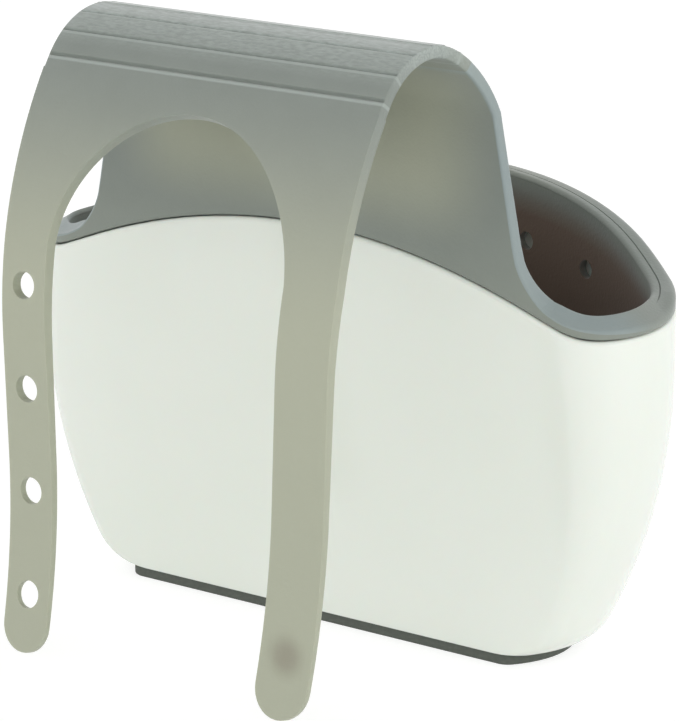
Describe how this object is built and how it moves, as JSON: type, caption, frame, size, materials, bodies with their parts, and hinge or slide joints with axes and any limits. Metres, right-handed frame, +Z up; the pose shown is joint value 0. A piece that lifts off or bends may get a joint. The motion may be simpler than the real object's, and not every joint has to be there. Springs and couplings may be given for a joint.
{
  "type": "sponge holder",
  "caption": "Sink saddle sponge holder: glossy bucket with a non-slip pad and a lift-out rubber liner that bends over as a grooved saddle with button straps.",
  "frame": {"origin": "middle of the base pad's underside", "axes": "+X along the holder, towards the strap that carries the stud; +Y from the flat back towards the bulged front; +Z up"},
  "size_m": [0.176, 0.1291, 0.1487],
  "materials": {
    "white_shell": "gloss moulded",
    "pad_rubber": "matte moulded",
    "grey_rubber": "translucent, fine matte texture"
  },
  "bodies": {
    "shell": {"outer_shell": "white_shell", "base_pad": "pad_rubber"},
    "liner": {"liner": "grey_rubber"},
    "crown_strip_1": {"crown_strip_1": "grey_rubber"},
    "crown_strip_2": {"crown_strip_2": "grey_rubber"},
    "crown_strip_3": {"crown_strip_3": "grey_rubber"},
    "crown_strip_4": {"crown_strip_4": "grey_rubber"},
    "crown_strip_5": {"crown_strip_5": "grey_rubber"},
    "panel": {"strap_panel": "grey_rubber"},
    "left_strap_link_1": {"left_strap_link_1": "grey_rubber"},
    "left_strap_link_2": {"left_strap_link_2": "grey_rubber"},
    "left_strap_link_3": {"left_strap_link_3": "grey_rubber"},
    "right_strap_link_1": {"right_strap_link_1": "grey_rubber"},
    "right_strap_link_2": {"right_strap_link_2": "grey_rubber"},
    "right_strap_link_3": {"right_strap_link_3": "grey_rubber", "button_stud": "grey_rubber"}
  },
  "joints": [
    {"name": "liner_lift", "type": "slide", "parent": "shell", "child": "liner", "axis": [0, 0, 1], "range_m": [0, 0.1]},
    {"name": "saddle_bend_1", "type": "hinge", "parent": "liner", "child": "crown_strip_1", "pos_m": [0, -0.02927, 0.14342], "axis": [-1, 0, 0], "range_deg": [-2, 12], "stiffness_Nm_per_rad": 0.15, "springref_deg": 2.62},
    {"name": "saddle_bend_2", "type": "hinge", "parent": "crown_strip_1", "child": "crown_strip_2", "pos_m": [0, -0.03327, 0.14549], "axis": [-1, 0, 0], "range_deg": [-2, 12], "stiffness_Nm_per_rad": 0.15, "springref_deg": 2.27},
    {"name": "saddle_bend_3", "type": "hinge", "parent": "crown_strip_2", "child": "crown_strip_3", "pos_m": [0, -0.03771, 0.1462], "axis": [-1, 0, 0], "range_deg": [-2, 12], "stiffness_Nm_per_rad": 0.15, "springref_deg": 1.91},
    {"name": "saddle_bend_4", "type": "hinge", "parent": "crown_strip_3", "child": "crown_strip_4", "pos_m": [0, -0.04394, 0.1452], "axis": [-1, 0, 0], "range_deg": [-2, 12], "stiffness_Nm_per_rad": 0.15, "springref_deg": 1.44},
    {"name": "saddle_bend_5", "type": "hinge", "parent": "crown_strip_4", "child": "crown_strip_5", "pos_m": [0, -0.04954, 0.1423], "axis": [-1, 0, 0], "range_deg": [-2, 12], "stiffness_Nm_per_rad": 0.15, "springref_deg": 1.06},
    {"name": "saddle_bend_6", "type": "hinge", "parent": "crown_strip_5", "child": "panel", "pos_m": [0, -0.05395, 0.1378], "axis": [-1, 0, 0], "range_deg": [-2, 12], "stiffness_Nm_per_rad": 0.15, "springref_deg": 0.79},
    {"name": "left_strap_bend_1", "type": "hinge", "parent": "panel", "child": "left_strap_link_1", "pos_m": [-0.039, -0.07471, 0.07625], "axis": [-1, 0, 0], "range_deg": [-6, 30], "stiffness_Nm_per_rad": 0.006, "springref_deg": 0.23},
    {"name": "left_strap_bend_2", "type": "hinge", "parent": "left_strap_link_1", "child": "left_strap_link_2", "pos_m": [-0.039, -0.07492, 0.05175], "axis": [-1, 0, 0], "range_deg": [-6, 30], "stiffness_Nm_per_rad": 0.006, "springref_deg": 0.19},
    {"name": "left_strap_bend_3", "type": "hinge", "parent": "left_strap_link_2", "child": "left_strap_link_3", "pos_m": [-0.039, -0.07637, 0.02715], "axis": [-1, 0, 0], "range_deg": [-6, 30], "stiffness_Nm_per_rad": 0.006, "springref_deg": 0.1},
    {"name": "right_strap_bend_1", "type": "hinge", "parent": "panel", "child": "right_strap_link_1", "pos_m": [0.039, -0.07471, 0.07625], "axis": [-1, 0, 0], "range_deg": [-6, 30], "stiffness_Nm_per_rad": 0.006, "springref_deg": 0.29},
    {"name": "right_strap_bend_2", "type": "hinge", "parent": "right_strap_link_1", "child": "right_strap_link_2", "pos_m": [0.039, -0.07492, 0.05175], "axis": [-1, 0, 0], "range_deg": [-6, 30], "stiffness_Nm_per_rad": 0.006, "springref_deg": 0.25},
    {"name": "right_strap_bend_3", "type": "hinge", "parent": "right_strap_link_2", "child": "right_strap_link_3", "pos_m": [0.039, -0.07637, 0.02715], "axis": [-1, 0, 0], "range_deg": [-6, 30], "stiffness_Nm_per_rad": 0.006, "springref_deg": 0.11}
  ]
}
